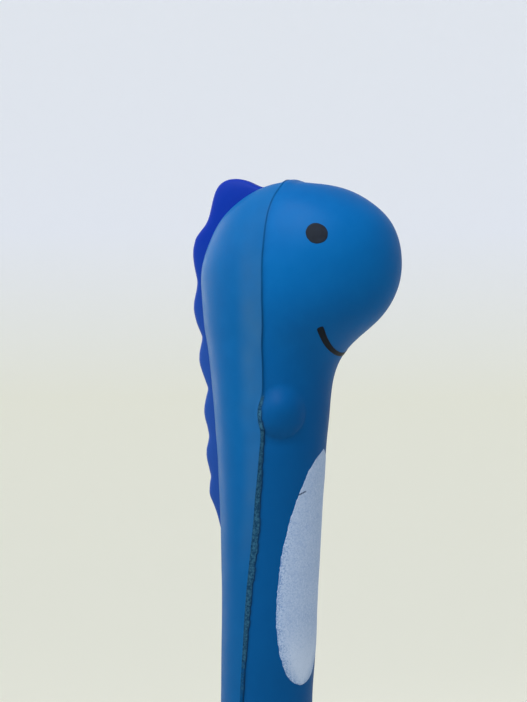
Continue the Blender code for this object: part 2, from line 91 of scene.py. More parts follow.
# Mould parting line: height and its angle from the front.
SEAM = (
    (165.0, 88.0), (164.4, 92.0), (163.53, 96.7), (162.59, 100.6), (161.67, 102.4), (159.57, 104.4), (156.4, 104.7),
    (152.5, 103.9), (149.4, 102.4), (145.54, 99.4), (142.45, 95.2), (139.35, 88.8), (137.0, 84.1), (134.68, 81.3),
    (132.34, 80.7), (130.5, 80.4), (129.4, 84.2), (128.1, 86.2), (126.9, 84.8), (125.3, 81.2), (124.07, 81.2),
    (120.94, 82.8), (117.96, 83.6), (114.98, 84.4), (111.84, 84.0), (108.85, 84.4), (105.85, 84.8), (102.86, 84.7),
    (99.7, 84.2), (95.12, 82.6), (90.7, 80.9), (86.09, 79.7), (82.75, 78.7), (66.3, 76.5),
)
# Height, and how wide the rough strip of flash beside the parting line is.
STRIP = (
    (165.0, 0.14), (150.0, 0.14), (140.0, 0.16), (132.0, 0.22), (130.0, 0.40), (128.0, 0.55), (125.5, 0.50),
    (123.5, 0.42), (117.5, 0.58), (109.8, 0.80), (106.8, 0.82), (98.9, 0.68), (94.4, 0.54), (89.8, 0.40),
    (81.8, 0.28), (66.3, 0.24),
)
# Height, and how far the back half of the mould stands proud at the parting line.
LIP = (
    (165.0, 0.05), (160.0, 0.08), (150.0, 0.12), (140.0, 0.22), (133.0, 0.26), (128.0, 0.12), (124.0, 0.30),
    (118.0, 0.38), (95.0, 0.36), (66.3, 0.25),
)
ARM = (61.6, 128.3, 4.1, 4.4, 1.40)
FOOT = (36.0, 71.6, 3.5, 4.3, 1.6)


def value_noise(x, y, seed):
    """Smooth repeatable noise from -1 to 1 on arrays of coordinates."""
    table = np.random.default_rng(seed).uniform(-1, 1, (128, 128))
    xi, yi = np.floor(x).astype(int), np.floor(y).astype(int)
    fx, fy = x - xi, y - yi
    fx, fy = fx * fx * (3 - 2 * fx), fy * fy * (3 - 2 * fy)
    a, b = table[xi % 128, yi % 128], table[(xi + 1) % 128, yi % 128]
    c, d = table[xi % 128, (yi + 1) % 128], table[(xi + 1) % 128, (yi + 1) % 128]
    return (a * (1 - fx) + b * fx) * (1 - fy) + (c * (1 - fx) + d * fx) * fy


def step(lo, hi, v):
    w = np.clip((v - lo) / (hi - lo), 0, 1)
    return w * w * (3 - 2 * w)


SMOOTHED = {}


def by_height(table, z):
    """Read a (height, value) table, with its corners rounded over about a millimetre."""
    if table not in SMOOTHED:
        t = np.array(table)[::-1]
        grid = np.arange(60.0, 170.0, 0.05)
        kernel = np.exp(-0.5 * (np.arange(-80, 81) * 0.05 / 1.0) ** 2)
        values = np.interp(grid, t[:, 0], t[:, 1])
        SMOOTHED[table] = (grid, np.convolve(np.pad(values, 80, mode="edge"), kernel / kernel.sum(), mode="valid"))
    return np.interp(z, *SMOOTHED[table])


class Skin:
    def __init__(self):
        table = np.array(SECTIONS)
        half_depth = (table[:, 1] - table[:, 2]) / 2
        gaps = np.hypot(np.diff(half_depth), np.diff(table[:, 0]))
        knots = np.concatenate(([0.0], np.cumsum(gaps)))
        self.length = knots[-1]
        self.u = np.linspace(0.0, self.length, 2400)
        rows = [self.through(knots, table[:, k]) for k in range(5)]
        # take the last measured ripple out, except at the two ends
        du = self.u[1] - self.u[0]
        reach = int(4.0 / du)
        kernel = np.exp(-0.5 * (np.arange(-reach, reach + 1) * du / 1.3) ** 2)
        kernel /= kernel.sum()
        keep = step(1.5, 7.0, self.u) * step(1.0, 4.0, self.length - self.u)
        smooth = [np.convolve(np.pad(r, reach, mode="edge"), kernel, mode="valid") for r in rows]
        self.z, self.front, self.back, self.half, self.mid = (
            r * (1 - keep) + s * keep for r, s in zip(rows, smooth)
        )

    def through(self, knots, values):
        gap = np.diff(knots)
        rise = np.diff(values) / gap
        slope = np.empty(len(knots))
        slope[1:-1] = (rise[:-1] * gap[1:] + rise[1:] * gap[:-1]) / (gap[1:] + gap[:-1])
        slope[0] = 1.5 * rise[0] - 0.5 * slope[1]
        slope[-1] = 1.5 * rise[-1] - 0.5 * slope[-2]
        i = np.clip(np.searchsorted(knots, self.u, side="right") - 1, 0, len(gap) - 1)
        w = (self.u - knots[i]) / gap[i]
        return (
            (2 * w**3 - 3 * w**2 + 1) * values[i] + (w**3 - 2 * w**2 + w) * gap[i] * slope[i]
            + (3 * w**2 - 2 * w**3) * values[i + 1] + (w**3 - w**2) * gap[i] * slope[i + 1]
        )

    def u_of_z(self, z):
        return np.interp(z, self.z[::-1], self.u[::-1])

    def height(self, u):
        return np.interp(u, self.u, self.z)

    @staticmethod
    def twist(z):
        return math.radians(TWIST_DEG) * step(0.0, 1.0, (TWIST_TOP - z) / TWIST_SPAN)

    def base(self, a, u):
        """Bare surface at angle a (radians from the front, positive to -X) and run u."""
        z, front, back, half, mid = (
            np.interp(u, self.u, v) for v in (self.z, self.front, self.back, self.half, self.mid)
        )
        c = np.cos(a)
        # the two half ellipses share one curvature where they meet
        depth = np.where(c >= 0, front - mid, mid - back)
        x, f = -half * np.sin(a), mid + depth * c
        t = self.twist(z)
        return np.stack((x * np.cos(t) + f * np.sin(t), x * np.sin(t) - f * np.cos(t), z + 0 * x), -1)

    def normal(self, a, u):
        e = 0.01
        pa = self.base(a + e, u) - self.base(a - e, u)
        hi, lo = np.minimum(u + 0.15, self.length), np.maximum(u - 0.15, 0.02)
        pu = self.base(a, hi) - self.base(a, lo)
        n = np.cross(pa, pu)
        size = np.linalg.norm(n, axis=-1, keepdims=True)
        return n / np.maximum(size, 1e-9)

    def offset_from_seam(self, a, u):
        """Signed distance along the skin to the parting line, positive on the back half."""
        z = self.height(u)
        half, front, back = (np.interp(u, self.u, v) for v in (self.half, self.front, self.back))
        r = np.maximum(0.5 * (half + 0.5 * (front - back)), 4.0)
        wrapped = np.abs((a + math.pi) % (2 * math.pi) - math.pi)
        return (wrapped - np.radians(by_height(SEAM, z))) * r

    def relief(self, a, u):
        """How far the skin stands off the bare surface."""
        z = self.height(u)
        half = np.maximum(np.interp(u, self.u, self.half), 1.0)
        deg = np.degrees((a + math.pi) % (2 * math.pi) - math.pi)
        out = 0.045 * value_noise(z / 7.0, deg * 0.02 + 3, 11) + 0.018 * value_noise(z / 2.4, deg / 16.0, 12)
        out = out * step(0.5, 6.0, u)
        for (centre, height, wide, tall, proud), low_power in ((ARM, 0.85), (FOOT, 0.9)):
            for side in (1, -1):
                across = np.radians(deg - side * centre) * half / wide
                rise = (z - height) / tall
                d = np.clip(across**2 + rise**2, 0, 1)
                power = low_power + (2.0 - low_power) * step(-0.6, 0.6, rise)
                out = out + proud * (1 - d) ** power
                # a soft crease under the bump
                gap = across**2 / 1.3 + ((rise + 1.12) / 0.28) ** 2
                out = out - 0.16 * np.exp(-gap * 1.2)
        s = self.offset_from_seam(a, u)
        width, lip = by_height(STRIP, z), by_height(LIP, z)
        side = np.where(deg >= 0, 0.0, 31.0)
        ragged = 1 + 0.22 * value_noise(z / 0.55 + side, np.zeros_like(z) + 0.5 + side, 21)
        width = width * ragged
        sunk = 0.10 + 0.12 * lip / 0.38
        on_back = lip * np.exp(-np.maximum(s, 0) / 3.2)
        across_strip = np.clip(-s / width, 0, 1)
        grit = 0.05 * value_noise(z / 0.3 + side, s / 0.16, 22) * step(0.3, 0.5, width)
        on_strip = lip * (1 - across_strip) - sunk * across_strip + grit * np.sin(math.pi * across_strip)
        on_front = -sunk * np.exp(-np.maximum(-s - width, 0) / 0.9)
        seam = np.where(s >= 0, on_back, np.where(s >= -width, on_strip, on_front))
        seam = seam - 0.07 * np.exp(-((s + 0.02) / 0.07) ** 2) * step(134.0, 140.0, z)
        # the front half's edge stands up a little where the line crosses the crown
        p = self.base(a, u)
        crown = step(3.6, 4.5, -p[..., 1]) * (1 - step(4.7, 6.6, -p[..., 1])) * (1 - step(3.0, 7.5, np.abs(p[..., 0])))
        return out + seam * step(0.05, 0.9, u) + 0.36 * crown * step(161.5, 163.6, z)

    def point(self, a, u, lift=0.0):
        r = self.relief(a, u) + lift
        return self.base(a, u) + self.normal(a, u) * np.asarray(r)[..., None]


SKIN = Skin()


# =====================================================================
# Mesh helpers
# =====================================================================
def new_object(name, verts, faces, mat, smooth_deg=None):
    mesh = bpy.data.meshes.new(name)
    mesh.from_pydata((np.asarray(verts, float) * MM).tolist(), [], faces)
    mesh.update()
    obj = bpy.data.objects.new(name, mesh)
    scene.collection.objects.link(obj)
    mesh.materials.append(mat)
    mesh.shade_smooth()
    if smooth_deg:
        mesh.set_sharp_from_angle(angle=math.radians(smooth_deg))
    return obj


def outward(obj):
    bm = bmesh.new()
    bm.from_mesh(obj.data)
    bmesh.ops.recalc_face_normals(bm, faces=bm.faces)
    bm.to_mesh(obj.data)
    bm.free()
    return obj


def grid_faces(rows, cols, wrap, first=0):
    """Quads of a grid of points; the columns may close into rings."""
    i = np.arange(rows - 1)[:, None]
    j = np.arange(cols if wrap else cols - 1)[None, :]
    k = (j + 1) % cols
    q = np.stack((i * cols + j, i * cols + k, (i + 1) * cols + k, (i + 1) * cols + j), -1) + first
    return q.reshape(-1, 4).tolist()


def attribute(obj, name, values):
    layer = obj.data.attributes.new(name, "FLOAT", "POINT")
    layer.data.foreach_set("value", np.asarray(values, np.float32).ravel())


def turned(name, profile, mat, segments=96, smooth_deg=32.0):
    """Spin a closed (radius, height) outline about Z; its sharp corners are eased."""
    pts = []
    n = len(profile)
    for i, (r, z) in enumerate(profile):
        p0, p1, p2 = np.array(profile[i - 1], float), np.array((r, z), float), np.array(profile[(i + 1) % n], float)
        a, b = p0 - p1, p2 - p1
        la, lb = np.linalg.norm(a), np.linalg.norm(b)
        cut = min(0.12, la * 0.3, lb * 0.3)
        turn = abs(np.cross(np.append(a / la, 0), np.append(b / lb, 0))[2])
        if r < 1e-9 or turn < 0.3:
            pts.append(tuple(p1))
        else:
            for w in (0.0, 0.5, 1.0):
                q = (p1 + a / la * cut) * (1 - w) ** 2 + 2 * w * (1 - w) * p1 + (p1 + b / lb * cut) * w**2
                pts.append(tuple(q))
    ang = np.linspace(0, 2 * math.pi, segments, endpoint=False)
    verts, faces, rows = [], [], []
    for r, z in pts:
        if r < 1e-9:
            rows.append([len(verts)] * segments)
            verts.append((0.0, 0.0, z))
        else:
            rows.append(list(range(len(verts), len(verts) + segments)))
            verts += [(r * math.cos(t), r * math.sin(t), z) for t in ang]
    for a, b in zip(rows, rows[1:] + rows[:1]):
        if a[0] == a[1] and b[0] == b[1]:
            continue
        for j in range(segments):
            k = (j + 1) % segments
            face = list(dict.fromkeys((a[j], a[k], b[k], b[j])))
            if len(face) > 2:
                faces.append(face)
    return outward(new_object(name, verts, faces, mat, smooth_deg))


# =====================================================================
# Materials
# =====================================================================
def srgb(r, g, b):
    def lin(c):
        c /= 255.0
        return c / 12.92 if c <= 0.04045 else ((c + 0.055) / 1.055) ** 2.4
    return (lin(r), lin(g), lin(b), 1.0)


class Nodes:
    def __init__(self, name):
        self.mat = bpy.data.materials.new(name)
        self.mat.use_nodes = True
        self.tree = self.mat.node_tree
        self.shader = self.tree.nodes["Principled BSDF"]

    def add(self, kind, **settings):
        node = self.tree.nodes.new(kind)
        for key, value in settings.items():
            if key in node.inputs:
                node.inputs[key].default_value = value
            else:
                setattr(node, key, value)
        return node

    def link(self, a, b):
        self.tree.links.new(a, b)

    def coords(self):
        return self.add("ShaderNodeTexCoord").outputs["Object"]

    def noise(self, scale, detail=3.0, rough=0.55, coords=None):
        node = self.add("ShaderNodeTexNoise", Scale=scale, Detail=detail, Roughness=rough)
        self.link(coords or self.coords(), node.inputs["Vector"])
        return node.outputs["Fac"]

    def spread(self, value, a, b, c, d, clamp=True):
        node = self.add("ShaderNodeMapRange", clamp=clamp)
        self.link(value, node.inputs["Value"])
        for key, v in zip(("From Min", "From Max", "To Min", "To Max"), (a, b, c, d)):
            node.inputs[key].default_value = v
        return node.outputs["Result"]

    def mix(self, fac, a, b, blend="MIX"):
        node = self.add("ShaderNodeMix", data_type="RGBA", blend_type=blend)
        for value, socket in ((fac, node.inputs["Factor"]), (a, node.inputs[6]), (b, node.inputs[7])):
            if isinstance(value, (tuple, float, int)):
                socket.default_value = value
            else:
                self.link(value, socket)
        return node.outputs[2]

    def math(self, op, a, b=None):
        node = self.add("ShaderNodeMath", operation=op)
        for value, socket in ((a, node.inputs[0]), (b, node.inputs[1])):
            if value is None:
                continue
            if isinstance(value, (float, int)):
                socket.default_value = value
            else:
                self.link(value, socket)
        return node.outputs[0]

    def attribute(self, name):
        return self.add("ShaderNodeAttribute", attribute_name=name).outputs["Fac"]

    def bump(self, height, strength, distance, after=None):
        node = self.add("ShaderNodeBump", Strength=strength, Distance=distance)
        self.link(height, node.inputs["Height"])
        if after is not None:
            self.link(after, node.inputs["Normal"])
        return node.outputs["Normal"]

    def set(self, **values):
        for key, value in values.items():
            socket = self.shader.inputs[key.replace("_", " ")]
            if isinstance(value, (tuple, float, int)):
                socket.default_value = value
            else:
                self.link(value, socket)


def foam_material():
    n = Nodes("blue_foam")
    xyz = n.coords()
    broad = n.noise(95.0, 2.0, 0.5, xyz)
    cloud = n.noise(420.0, 4.0, 0.6, xyz)
    fine = n.noise(5200.0, 3.0, 0.6, xyz)
    grit = n.noise(2600.0, 4.0, 0.75, xyz)
    # the back half is a touch greyer than the front: painted sheen on the side that faces the lamps
    front, rear = srgb(0, 78, 138), srgb(3, 80, 136)
    colour = n.mix(n.attribute("rear"), front, rear)
    # painted sheen: lighter greyer blue on the back half beside the parting line
    colour = n.mix(n.attribute("painted_seam_sheen"), colour, srgb(38, 88, 134))
    colour = n.mix(n.spread(broad, 0.35, 0.65, 0.0, 0.35), colour, srgb(0, 72, 131))
    colour = n.mix(n.spread(cloud, 0.4, 0.7, 0.0, 0.14), colour, srgb(8, 92, 152))
    # painted shade and painted highlight: darker where the shaft lies in shade, lighter where the light falls on the
    # head
    colour = n.mix(n.attribute("painted_shade"), colour, srgb(0, 64, 116))
    colour = n.mix(n.attribute("light"), colour, srgb(0, 94, 160))
    strip = n.attribute("strip")
    mottled = n.mix(n.spread(grit, 0.40, 0.60, 0.0, 1.0), srgb(12, 52, 84), srgb(46, 94, 124))
    colour = n.mix(strip, colour, mottled)
    # painted shade: near-black in the parting-line groove and along the front edge of the flash strip
    colour = n.mix(n.attribute("painted_seam_shadow"), colour, srgb(2, 26, 52))
    rough = n.spread(cloud, 0.3, 0.7, 0.40, 0.50)
    rough = n.math("ADD", rough, n.math("MULTIPLY", strip, 0.3))
    normal = n.bump(fine, 0.10, 0.00006)
    normal = n.bump(grit, 0.05, 0.00015, normal)
    n.set(Base_Color=colour, Roughness=rough, Normal=normal, Specular_IOR_Level=0.05)
    return n.mat


def crest_material():
    n = Nodes("royal_blue_foam")
    xyz = n.coords()
    cloud = n.noise(420.0, 4.0, 0.6, xyz)
    fine = n.noise(5200.0, 3.0, 0.6, xyz)
    # painted highlight: the crest's top edge is tinted a lighter violet
    edge = n.attribute("painted_ridge_highlight")
    colour = n.mix(n.spread(cloud, 0.35, 0.7, 0.0, 0.3), srgb(0, 37, 130), srgb(3, 42, 136))
    colour = n.mix(n.math("MULTIPLY", edge, 0.35), colour, srgb(40, 48, 136))
    # painted sheen: the lower crest, along the back of the shaft, is mixed towards a lighter greyer blue
    up = n.add("ShaderNodeSeparateXYZ")
    n.link(xyz, up.inputs[0])
    colour = n.mix(n.spread(up.outputs["Z"], 0.138, 0.156, 0.52, 0.0), colour, srgb(42, 82, 144))
    n.set(Base_Color=colour, Roughness=n.spread(cloud, 0.3, 0.7, 0.42, 0.52),
          Normal=n.bump(fine, 0.10, 0.00006), Specular_IOR_Level=0.05)
    return n.mat


def belly_material():
    n = Nodes("sprayed_pale_paint")
    xyz = n.coords()
    grain = n.noise(3600.0, 4.0, 0.8, xyz)
    cloud = n.noise(300.0, 3.0, 0.6, xyz)
    thin = n.attribute("thin")
    speck = n.noise(2100.0, 2.0, 0.7, xyz)
    colour = n.mix(n.spread(cloud, 0.35, 0.65, 0.0, 0.4), srgb(144, 163, 194), srgb(128, 150, 186))
    colour = n.mix(n.spread(grain, 0.42, 0.72, 0.0, 0.55), colour, srgb(186, 200, 224))
    colour = n.mix(n.spread(speck, 0.50, 0.66, 0.0, 0.30), colour, srgb(112, 140, 184))
    colour = n.mix(n.attribute("full"), colour, srgb(184, 197, 218))
    # where the coat is thin the foam's blue shows between the specks
    level = n.math("SUBTRACT", 0.30, n.math("MULTIPLY", thin, -0.24))
    holes = n.math("LESS_THAN", grain, level)
    shown = n.math("MULTIPLY", holes, n.spread(thin, 0.0, 1.0, 0.35, 0.6))
    colour = n.mix(shown, colour, srgb(60, 104, 160))
    colour = n.mix(n.attribute("scratch"), colour, srgb(8, 34, 70))
    n.set(Base_Color=colour, Roughness=n.spread(grain, 0.3, 0.7, 0.55, 0.75),
          Normal=n.bump(grain, 0.25, 0.00008), Specular_IOR_Level=0.2)
    return n.mat


def print_material(name, colour, rough):
    n = Nodes(name)
    xyz = n.coords()
    cloud = n.noise(900.0, 4.0, 0.6, xyz)
    fine = n.noise(5200.0, 3.0, 0.6, xyz)
    base = n.mix(n.spread(cloud, 0.35, 0.7, 0.0, 0.5), colour, tuple(min(1.0, c * 1.9 + 0.004) for c in colour[:3]) + (1.0,))
    n.set(Base_Color=base, Roughness=n.spread(cloud, 0.3, 0.7, rough - 0.05, rough + 0.07),
          Normal=n.bump(fine, 0.10, 0.00006), Specular_IOR_Level=0.08)
    return n.mat


def plastic(name, colour, rough=0.26, mottle=0.12, coat=0.25, transmission=0.0, grain=0.04, gloss=0.5):
    n = Nodes(name)
    xyz = n.coords()
    cloud = n.noise(260.0, 3.0, 0.55, xyz)
    fine = n.noise(3800.0, 3.0, 0.6, xyz)
    darker = tuple(c * (1 - mottle) for c in colour[:3]) + (1.0,)
    n.set(Base_Color=n.mix(n.spread(cloud, 0.35, 0.65, 0.0, 1.0), colour, darker),
          Roughness=n.spread(cloud, 0.3, 0.7, rough - 0.03, rough + 0.05),
          Normal=n.bump(fine, grain, 0.00005), Coat_Weight=coat, Coat_Roughness=0.12,
          Specular_IOR_Level=gloss, Transmission_Weight=transmission)
    return n.mat


def metal(name, colour, rough):
    n = Nodes(name)
    xyz = n.coords()
    stretch = n.add("ShaderNodeMapping")
    n.link(xyz, stretch.inputs["Vector"])
    stretch.inputs["Scale"].default_value = (400.0, 400.0, 9000.0)
    rings = n.noise(1.0, 3.0, 0.6, stretch.outputs["Vector"])
    n.set(Base_Color=colour, Metallic=1.0, Roughness=n.spread(rings, 0.3, 0.7, rough - 0.06, rough + 0.1),
          Normal=n.bump(rings, 0.12, 0.00002))
    return n.mat


FOAM = foam_material()
CREST = crest_material()
BELLY = belly_material()
EYE = print_material("eye_black", srgb(18, 24, 34), 0.6)
MOUTH = print_material("mouth_black", srgb(3, 10, 20), 0.5)
SHELL = plastic("barrel_blue", srgb(0, 76, 150), 0.24, 0.03, 0.04, 0.0, 0.01, 0.22)
CAP = plastic("cap_blue", srgb(0, 72, 144), 0.26, 0.03, 0.04, 0.0, 0.01, 0.22)
WHITE = plastic("white_polymer", srgb(226, 228, 228), 0.35, 0.05)
CLEAR = plastic("milky_tube", srgb(232, 238, 242), 0.12, 0.02, 0.0, 0.92, 0.005)
INK = plastic("gel_ink_black", srgb(14, 16, 22), 0.2, 0.3, 0.5)
GREASE = plastic("follower_grease", srgb(206, 196, 150), 0.2, 0.08, 0.4, 0.3)
RUBBER = plastic("seal_rubber_grey", srgb(70, 74, 80), 0.75, 0.15, 0.0)
STEEL = metal("nickel_silver", srgb(204, 202, 194), 0.26)
CARBIDE = metal("carbide", srgb(160, 162, 166), 0.18)


# =====================================================================
# Foam skin: one casting from the open lower end to the crown
# =====================================================================
def seam_columns(u):
    """Angles round one row: fine beside the parting line, even elsewhere."""
    near = np.array((-1.9, -1.5, -1.2, -1.0, -0.85, -0.72, -0.6, -0.5, -0.4, -0.3, -0.2, -0.12, -0.05,
                     0.0, 0.05, 0.12, 0.22, 0.36, 0.55, 0.8, 1.1, 1.5))
    n_front, n_back = ((34, 34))
    z = SKIN.height(u)
    half, front, back = (np.interp(u, SKIN.u, v) for v in (SKIN.half, SKIN.front, SKIN.back))
    r = np.maximum(0.5 * (half + 0.5 * (front - back)), 4.0)
    seam = np.radians(by_height(SEAM, z))
    fine = seam[:, None] + near[None, :] / r[:, None]
    lead = fine[:, :1] * np.linspace(0, 1, n_front, endpoint=False)[None, :]
    tail = fine[:, -1:] + (math.pi - fine[:, -1:]) * np.linspace(0, 1, n_back + 1)[None, 1:]
    right = np.concatenate((lead, fine, tail), 1)              # 0 .. pi
    left = -right[:, -2:0:-1]                                  # back round the other side
    return np.concatenate((right, left), 1)


def foam_skin():
    rows = 410
    u = 0.12 + (SKIN.length - 0.12) * np.linspace(0, 1, rows)
    a = seam_columns(u)
    cols = a.shape[1]
    uu = np.repeat(u[:, None], cols, 1)
    outer = SKIN.point(a, uu)
    bore = []
    turn = SKIN.twist(np.array(66.3))
    for r, z in ((5.0, 66.18), (4.5, 66.2), (4.25, 66.35), (4.2, 66.8), (4.2, 85.0), (4.2, 104.0), (4.2, 121.3)):
        t = a[-1] - turn * 1.0
        bore.append(np.stack((-r * np.sin(t), -r * np.cos(t), np.full(cols, z)), -1))
    verts = np.concatenate((outer.reshape(-1, 3), np.concatenate(bore, 0)), 0)
    total = rows + len(bore)
    faces = grid_faces(total, cols, True)
    pole = len(verts)
    mid0 = SKIN.point(np.array([math.pi / 2, -math.pi / 2]), np.array([0.12, 0.12])).mean(0)
    verts = np.concatenate((verts, [mid0 + np.array((0, 0, 0.004))], [(0.0, 0.0, 121.3)]), 0)
    faces += [(pole, (j + 1) % cols, j) for j in range(cols)]
    last = (total - 1) * cols
    faces += [(pole + 1, last + j, last + (j + 1) % cols) for j in range(cols)]
    obj = outward(new_object("foam_body", verts, faces, FOAM))
    s = SKIN.offset_from_seam(a, uu)
    z = SKIN.height(uu)
    width = by_height(STRIP, z)
    side = np.where(((a + math.pi) % (2 * math.pi)) - math.pi >= 0, 0.0, 31.0)
    width = width * (1 + 0.22 * value_noise(z / 0.55 + side, np.zeros_like(z) + 0.5 + side, 21))
    on = step(-0.08, 0.0, -s) * (1 - step(width - 0.03, width + 0.09, -s))
    strip = on * step(0.26, 0.42, width)
    # painted shade: a dark line along the parting-line groove, and on the shaft a painted shadow along the front edge
    # of the flash strip
    painted_seam_shadow = np.exp(-(s / 0.075) ** 2) * step(126.0, 132.0, z) * (0.55 - 0.15 * step(140.0, 150.0, z))
    low = 1 - step(126.0, 132.0, z)
    beside = np.abs(s + width + 0.05)
    painted_seam_shadow = np.maximum(painted_seam_shadow, (0.85 * np.exp(-(beside / 0.11) ** 2) + 0.22 * np.exp(-(beside / 0.34) ** 2) * step(0.0, 0.1, -s - width)) * low)
    painted_seam_shadow = np.maximum(painted_seam_shadow, 0.32 * np.exp(-((s + 0.02) / 0.07) ** 2) * low)
    painted_seam_shadow = painted_seam_shadow * step(0.3, 1.4, uu)
    extra = len(verts) - rows * cols
    # painted sheen: the back half is a little greyer beside the parting line, where the lip catches the light
    reach = step(112.0, 136.0, z)
    painted_seam_sheen = step(0.0, 0.15, s) * (1 - step(0.8 + 0.8 * reach, 3.0 + 1.6 * reach, s)) * (1 - 0.75 * step(147.0, 156.0, z)) * step(0.4, 3.0, uu)
    painted_seam_sheen = painted_seam_sheen * (0.85 + 0.3 * value_noise(z / 4.0, s / 3.0, 31)) * (0.12 + 0.88 * step(101.0, 112.0, z))
    # painted shade: darker along the front of the shaft and lower head and low on the back of the shaft; painted
    # highlight: lighter on the upper cheeks and on the back beside the parting line
    painted_shade = 0.62 * (1 - step(126.0, 142.0, z)) * step(0.0, 0.4, -s)
    painted_shade = painted_shade + 0.22 * (1 - step(97.0, 117.0, z)) * step(0.0, 0.3, s)
    light = 0.30 * step(142.0, 150.0, z) * (1 - step(158.0, 163.5, z)) * step(0.0, 1.0, -s)
    light = light + 0.06 * step(113.0, 119.0, z) * (1 - step(126.0, 136.0, z)) * step(0.0, 0.3, s) * (1 - step(3.0, 6.0, s))
    for name, values in (("strip", strip), ("painted_seam_shadow", painted_seam_shadow), ("rear", step(-0.25, 0.0, s)), ("painted_seam_sheen", painted_seam_sheen),
                         ("painted_shade", painted_shade), ("light", light)):
        attribute(obj, name, np.concatenate((values.ravel(), np.zeros(extra))))
    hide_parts("foam_torso", "foam_head")
    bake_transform(obj)
    return obj


# =====================================================================
# Crest
# =====================================================================
CREST_HEIGHTS = (
    (-2.8, -0.6), (-2, -0.15), (-1.4, 0.2), (-0.8, 0.52), (-0.2, 1.2), (0.4, 2.08), (1, 2.82),
    (1.6, 3.4), (2.2, 3.88), (2.8, 4.27), (3.4, 4.5), (4, 4.58), (4.6, 4.48), (5.2, 4.2),
    (5.8, 3.81), (6.4, 3.38), (7, 2.97), (7.6, 2.62), (8.2, 2.36), (8.8, 2.22), (9.4, 2.22),
    (10, 2.36), (10.8, 2.62), (11.8, 2.87), (12.6, 2.76), (13.2, 2.7), (14.2, 2.39), (15.4, 1.84),
    (16.6, 1.3), (17.4, 1.02), (17.9, 0.93), (18.4, 0.96), (19.2, 1.12), (20.2, 1.47), (21.2, 1.77),
    (22.2, 1.9), (23, 1.84), (24.4, 1.59), (25.6, 1.22), (26.4, 0.98), (26.8, 0.93), (27.3, 1.1),
    (28, 1.43), (29.2, 1.9), (30.4, 2.1), (31.2, 2.06), (32.4, 1.8), (34, 1.36), (34.9, 1.08),
    (35.3, 1.06), (35.8, 1.25), (37, 1.71), (38.2, 2.05), (39, 2.14), (40, 2.06), (41.2, 1.78),
    (42.4, 1.62), (43, 1.62), (43.8, 1.85), (44.8, 2.21), (45.8, 2.32), (46.6, 2.28), (48.4, 1.92),
    (49.2, 1.76), (49.6, 1.76), (50.2, 1.96), (51.2, 2.14), (52, 2.24), (52.7, 2.12), (53.8, 1.65),
    (55, 1.22), (56.2, 0.9), (57.4, 0.64), (58.6, 0.38), (60, 0.11), (61.2, -0.15), (62.4, -0.6),
)


def crest():
    zz, ff = SKIN.z, SKIN.back
    start = int(np.argmin(np.where(SKIN.u < 20, np.abs(ff - 3.0), 99)))
    run = np.concatenate(([0.0], np.cumsum(np.hypot(np.diff(ff[start:]), np.diff(zz[start:])))))
    zero = float(np.interp(1.7, -ff[start:start + 600], run[:600]))      # where the heights are counted from
    table = np.array(CREST_HEIGHTS)
    s = np.arange(table[0, 0], table[-1, 0], 0.22)
    tall = np.interp(s, table[:, 0], table[:, 1])
    kernel = np.array((1, 2, 1), float)
    tall = np.convolve(np.pad(tall, 1, mode="edge"), kernel / kernel.sum(), mode="valid")

    def on(q):
        z, f = np.interp(q + zero, run, zz[start:]), np.interp(q + zero, run, ff[start:])
        t = SKIN.twist(z)
        return np.stack((f * np.sin(t), -f * np.cos(t), z), -1), t

    p, t = on(s)
    along = on(s + 0.6)[0] - on(s - 0.6)[0]
    along /= np.linalg.norm(along, axis=1, keepdims=True)
    side = np.stack((np.cos(t), np.sin(t), np.zeros_like(t)), -1)
    away = np.cross(side, along)
    away *= np.sign(away @ np.array((0.0, 1.0, 0.6)))[:, None]
    n = 27
    q = np.linspace(-1, 1, n)
    foot = -0.75
    shape = (1 - np.abs(q) ** 3.2) ** (1 / 2.3)                # flat crown, rounded shoulders
    y = foot + (tall[:, None] - foot) * shape[None, :]
    w = 1.72 * np.sign(q) * np.abs(q) ** 0.8
    w = w[None, :] * (1 - 0.10 * shape[None, :] * np.clip(tall, 0, 3)[:, None] / 2.0)
    top = p[:, None] + side[:, None] * w[..., None] + away[:, None] * y[..., None]
    rows = len(s)
    verts = top.reshape(-1, 3)
    faces = grid_faces(rows, n, False)
    # flat underside, buried in the foam
    faces += [tuple((r * n, (r + 1) * n, (r + 1) * n + n - 1, r * n + n - 1)) for r in range(rows - 1)]
    faces += [tuple(range(n)), tuple((rows - 1) * n + j for j in range(n - 1, -1, -1))]
    obj = outward(new_object("crest", verts, faces, CREST, 50.0))
    # painted highlight mask along the top of the crest
    painted_ridge_highlight = np.clip(shape[None, :] ** 6 * step(0.3, 1.2, tall)[:, None], 0, 1) + 0 * y
    attribute(obj, "painted_ridge_highlight", painted_ridge_highlight)
    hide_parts("crest_head", "crest_back")
    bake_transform(obj)
    return obj


